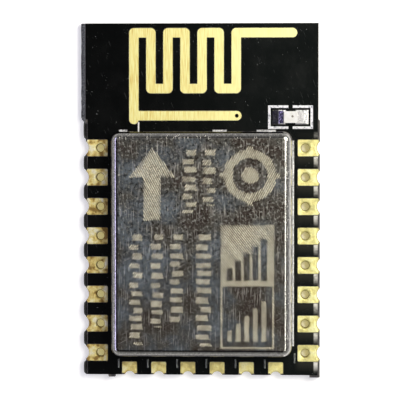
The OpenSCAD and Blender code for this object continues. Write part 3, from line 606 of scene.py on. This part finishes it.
def hatch_strokes(name, inside, pitch, angle, seed):
    """Laser hatching of a shape. Parallel lines at a pitch and an angle are sampled finely,
    and each unbroken run inside the shape becomes a stroke: a ribbon of four stations,
    narrower at both ends, whose section is a low roof."""
    rng = np.random.default_rng(seed)
    low, high = box("shield_can")
    centre, reach = (low + high)[:2] / 2, np.hypot(*(high - low)[:2]) / 2
    way = np.array([math.cos(angle), math.sin(angle)])
    side = np.array([-way[1], way[0]])
    s = np.arange(-reach, reach, 0.02)
    t = np.arange(-reach, reach, pitch)
    x = centre[0] + s * way[0] + t[:, None] * side[0]
    y = centre[1] + s * way[1] + t[:, None] * side[1]
    change = np.diff(np.pad(inside(x, y), ((0, 0), (1, 1))).astype(int), axis=1)
    row, first = np.nonzero(change == 1)
    last = np.nonzero(change == -1)[1]
    long_enough = last - first > 3
    row, first, last = row[long_enough], first[long_enough], last[long_enough]
    jitter = rng.uniform(-0.03, 0.03, (2, len(row)))
    start, end = s[first] + jitter[0], s[last - 1] + jitter[1]
    share = np.array([0.0, 0.15, 0.85, 1.0])
    across = np.array([-0.5, 0.0, 0.5])
    width = pitch * rng.uniform(0.5, 0.8, len(row))[:, None] * np.array([0.35, 1.0, 1.0, 0.35])
    run = start[:, None] + (end - start)[:, None] * share
    off = t[row][:, None, None] + width[:, :, None] * across
    points = np.empty((len(row), 4, 3, 3))
    points[..., 0] = centre[0] + run[..., None] * way[0] + off * side[0]
    points[..., 1] = centre[1] + run[..., None] * way[1] + off * side[1]
    points[..., 2] = high[2] - 0.001 + np.array([0.0, 0.006, 0.0])
    piece(name, points, grid_faces(4, 3, len(row)), FROSTED)


FROSTED = laser_frosted_metal()
hatch_strokes("ring_marks", target_ring, 0.13, math.radians(62), 1)
hatch_strokes("arrow_marks", antenna_arrow, 0.13, math.radians(118), 2)
hatch_strokes("panel_marks", bar_panel, 0.125, math.radians(128), 3)
hatch_strokes("index_marks", index_bars, 0.12, math.radians(55), 4)


# ------------------------------------------------------------------- small board pieces


def covered_tracks():
    """Tracks that show as ridges under the mask beside each end pad: the section is half an
    ellipse, and the height dies away at both ends as a quarter sine."""
    width, height = 0.11, 0.02
    level = box("top_solder_mask")[1][2]
    pads = [box(f"end_pad_{i}") for i in range(1, 7)]
    starts = [[pad[0][0] - 0.24, pad[1][1] + 0.2, 0.62] for pad in pads]  # x, y and length
    starts = np.array(starts + [[6.29, -10.5, 0.7]])
    along_track = np.linspace(0, 1, 13)
    around = np.linspace(math.pi, 0, 7)
    fade = np.sin(np.clip(np.minimum(along_track, 1 - along_track) * 6, 0, 1) * math.pi / 2)
    points = np.empty((len(starts), 13, 7, 3))
    points[..., 0] = starts[:, 0, None, None] + width / 2 * np.cos(around)
    points[..., 1] = (starts[:, 1, None] - starts[:, 2, None] * along_track)[..., None]
    points[..., 2] = level - 0.001 + height * fade[:, None] * np.sin(around)
    piece("covered_tracks", points, grid_faces(13, 7, len(starts)), ridge_sheen_mask())


def torn_fibres():
    """Broken glass and resin along the snapped edge: a half-round bead whose reach is
    uneven, from two rows of random steps, one coarse and one fine."""
    rng = np.random.default_rng(7)
    low, high = box("laminate")
    rows, columns, length = 260, 9, 6.45
    start = high[1] - length
    around = np.linspace(math.pi / 2, -math.pi / 2, columns)
    y = np.linspace(high[1] - 0.01, start, rows)
    coarse = np.interp(y[::-1], np.linspace(start, high[1], 30), rng.uniform(0, 1, 30))[::-1]
    reach = 0.02 + 0.05 * coarse[:, None] * rng.uniform(0.5, 1.0, (rows, columns))
    middle, half = (low[2] + high[2]) / 2, 0.2
    points = np.empty((rows, columns, 3))
    points[..., 0] = low[0] + 0.01 - reach * np.cos(around)
    points[..., 1] = y[:, None]
    points[..., 2] = middle + half * np.sin(around)
    faces = grid_faces(rows, columns)
    piece("torn_fibres", points, faces, FINISHES["laminate"])


def routed_tongues():
    """Tongues of mask and resin that the router leaves between and beside the left half
    holes. One less the fourth power of the height, times the same of the place along the
    gap, gives the square of how far each stands out."""
    reach = 0.19
    low, high = box("left_pad_8"), box("left_pad_1")
    pitch = box("left_pad_1")[0][1] - box("left_pad_2")[0][1]
    middle = high[0][1] + (low[1][1] - box("left_pad_7")[0][1]) / 2
    v = np.linspace(-1, 1, 15)
    w = np.linspace(-1, 1, 7)[:, None]
    gaps = [(middle - i * pitch, 0.52) for i in range(7)]
    gaps += [(high[1][1] + 0.7, 0.68), (low[0][1] - 0.47, 0.47)]
    edge = high[0][0] + 0.02 - reach * np.sqrt((1 - w**4) * (1 - v**4))
    height = box("laminate")[1][2] / 2 + 0.02 + 0.36 * w
    faces, mask = grid_faces(7, 15), FINISHES["solder_mask"]
    for number, (centre, half) in enumerate(gaps, 1):
        points = np.stack(np.broadcast_arrays(edge, centre + half * v, height), axis=-1)
        piece(f"routed_tongue_{number}", points, faces, mask)


def ground_hole_plug():
    """Mask that has flowed into the antenna's ground hole from below: a shallow dish, whose
    height grows with the square of the distance from its middle."""
    centre = (2.34, 5.7)
    foil = box("antenna_track")[0][2]
    radius = np.linspace(0, 0.134, 7)[:, None]
    turn = np.linspace(0, 2 * math.pi, 33)
    points = np.stack(
        np.broadcast_arrays(
            centre[0] + radius * np.cos(turn),
            centre[1] + radius * np.sin(turn),
            foil + 0.3 + 8 * radius**2,
        ),
        axis=-1,
    )
    piece("ground_hole_plug", points, grid_faces(7, 33), FINISHES["solder_mask"])


def wetted_lands():
    """Solder that has spread over both lamp lands: a low pillow, whose height falls with the
    eighth power of the distance from its middle both ways."""
    low, high = box("lamp_solder")
    ends = box("lamp_ends")
    past, under = 0.02, 0.46  # past the solder, and under the lamp
    spans = {
        "left": (low[0] - past, ends[0][0] + under),
        "right": (ends[1][0] - under, high[0] + past),
    }
    middle = (low[1] + high[1]) / 2
    u = np.linspace(-1, 1, 15)[:, None]
    v = np.linspace(-1, 1, 21)
    rng = np.random.default_rng(5)
    for side, (start, stop) in spans.items():
        swell = 0.055 * (1 - u**8) * (1 - v**8) * rng.uniform(0.75, 1.0, (15, 21))
        across = (start + stop) / 2 + (stop - start) / 2 * u
        height = low[2] - 0.004 + swell
        points = np.stack(np.broadcast_arrays(across, middle + 0.48 * v, height), axis=-1)
        piece(f"{side}_land_solder", points, grid_faces(15, 21), FINISHES["solder"])


def lamp_details():
    """What shows of the lamp besides its body: the flat ink mark over one end, and the
    light chip that shows through the resin, a dome whose height falls with the square of
    the distance from its middle."""
    low, high = box("lamp_ends")
    middle = (low + high) / 2
    top = high[2] + 0.004
    u = np.linspace(-0.01, 0.3, 7)[:, None]
    v = np.linspace(-0.43, 0.43, 13)
    points = np.stack(np.broadcast_arrays(low[0] + u, middle[1] + v, top), axis=-1)
    piece("polarity_mark", points, grid_faces(7, 13)[:, ::-1], violet_mark_ink())
    resin = box("lamp_resin")[1][2]
    turn = np.linspace(0, 2 * math.pi, 17)
    r = np.linspace(0.005, 0.085, 4)[:, None]
    dome = resin - 0.001 + 0.008 * (1 - (r / 0.085) ** 2)
    across, along_board = middle[0] + 0.14 + r * np.cos(turn), middle[1] + 0.05 + r * np.sin(turn)
    points = np.stack(np.broadcast_arrays(across, along_board, dome), axis=-1)
    piece("light_chip", points, grid_faces(4, 17), FINISHES["crystal_case"])


covered_tracks()
torn_fibres()
routed_tongues()
ground_hole_plug()
wetted_lands()
lamp_details()


# --------------------------------------------------------------------- floor and lights


def pale_floor():
    """Plain white floor that keeps the object's shadow. What the camera, glossy and clear
    surfaces see of it is lifted to white, and under the rows of plated holes it is given a
    painted warm glow that stands in for the gold light from their plated walls."""
    half = 400 * MM
    level = CAD_BOX[0].z - 0.01 * MM
    corners = [(-half, -half), (half, -half), (half, half), (-half, half)]
    mesh = bpy.data.meshes.new("floor")
    mesh.from_pydata([(x, y, level) for x, y in corners], [], [(0, 1, 2, 3)])
    floor = bpy.data.objects.new("floor", mesh)
    bpy.context.scene.collection.objects.link(floor)
    made, tree, coords = material("white_paper")
    paper = add(tree, "BsdfDiffuse", {"Color": "#e9e9e9"})
    lift_strength, seen = 0.44, 0.0
    for ray in ("Is Camera Ray", "Is Glossy Ray", "Is Transmission Ray"):
        seen = add(tree, "Math", {0: seen, 1: add(tree, "LightPath", out=ray)}, operation="ADD")
    strength = add(tree, "Math", {0: seen, 1: lift_strength}, operation="MULTIPLY")
    pad, end = box("right_pad_1"), box("right_pad_8")
    across = add(tree, "SeparateXYZ", {"Vector": coords}, out=0)
    lengthwise = add(tree, "SeparateXYZ", {"Vector": coords}, out=1)
    under = add(tree, "Math", {0: across}, operation="ABSOLUTE")
    under = add(tree, "Math", {0: under, 1: (pad[1][0] - 0.4) * MM}, operation="LESS_THAN")
    for limit, way in ((pad[1][1], "LESS_THAN"), (end[0][1], "GREATER_THAN")):
        inside = add(tree, "Math", {0: lengthwise, 1: limit * MM}, operation=way)
        under = add(tree, "Math", {0: under, 1: inside}, operation="MULTIPLY")
    # Painted light: a warm glow under the rows of plated holes.
    tint = add(tree, "Mix", {0: under, MIX_A: "#ffffff", MIX_B: "#f4e59a"}, **BLEND)
    lift = add(tree, "Emission", {"Color": tint, "Strength": strength})
    add(tree, "OutputMaterial", {"Surface": add(tree, "AddShader", {0: paper, 1: lift})})
    mesh.materials.append(made)


def studio_world():
    """Pale surroundings with a darker ceiling, so that the flat dark surfaces stay dark.
    The camera sees plain white."""
    world = bpy.data.worlds.new("studio")
    bpy.context.scene.world = world
    world.use_nodes = True
    tree = world.node_tree
    tree.nodes.clear()
    direction = add(tree, "TexCoord", out="Generated")
    up = add(tree, "SeparateXYZ", {"Vector": direction}, out=2)
    level = add(
        tree,
        "MapRange",
        {0: up, FROM_LOW: 0.2, FROM_HIGH: 0.85, TO_LOW: 0.5, TO_HIGH: 0.14},
        interpolation_type="SMOOTHSTEP",
    )
    camera = add(tree, "LightPath", out="Is Camera Ray")
    strength = add(tree, "Mix", {0: camera, 2: level, 3: 1.0})
    sky = add(tree, "Background", {"Color": "#ffffff", "Strength": strength})
    add(tree, "OutputWorld", {"Surface": sky})


def soft_lamp(name, place, size, watts, tint):
    """Rectangular soft lamp at a place in millimetres, facing the board."""
    lamp = bpy.data.lights.new(name, "AREA")
    lamp.shape = "RECTANGLE"
    lamp.size, lamp.size_y = (s * MM for s in size)
    lamp.energy = watts
    lamp.color = colour(tint)[:3]
    made = bpy.data.objects.new(name, lamp)
    made.location = Vector(place) * MM
    made.rotation_euler = (-made.location).to_track_quat("-Z", "Y").to_euler()
    bpy.context.scene.collection.objects.link(made)


def overhead_camera():
    """Camera almost straight above the board, a little towards its right antenna corner."""
    lens, sensor, view_w = 211.4, 36.0, 27.3
    distance = lens * view_w / sensor
    board_top = box("top_solder_mask")[1][2]
    target = np.array([-0.17, -0.05, board_top])
    lean = np.array([8.0, 4.0, 0.0])
    place = target + lean + np.array([0, 0, math.sqrt(distance**2 - (lean**2).sum())])
    back = (place - target) / np.linalg.norm(place - target)
    across = np.cross([0, 1, 0], back)
    across /= np.linalg.norm(across)
    turn = Matrix(np.stack([across, np.cross(back, across), back], axis=1).tolist())
    data = bpy.data.cameras.new("camera")
    data.lens, data.sensor_width = lens, sensor
    data.clip_start = 0.005
    camera = bpy.data.objects.new("camera", data)
    camera.matrix_world = Matrix.Translation(Vector(place.tolist()) * MM) @ turn.to_4x4()
    bpy.context.scene.collection.objects.link(camera)
    bpy.context.scene.camera = camera


bpy.context.scene.view_settings.view_transform = "Standard"
overhead_camera()
pale_floor()
studio_world()
soft_lamp("key", (70, 42, 105), (60, 80), 0.145, "#fffaee")
soft_lamp("edge", (60, 0, 148), (160, 14), 0.05, "#fffdf4")
soft_lamp("fill", (-90, 0, 80), (140, 26), 0.035, "#cfc8ff")
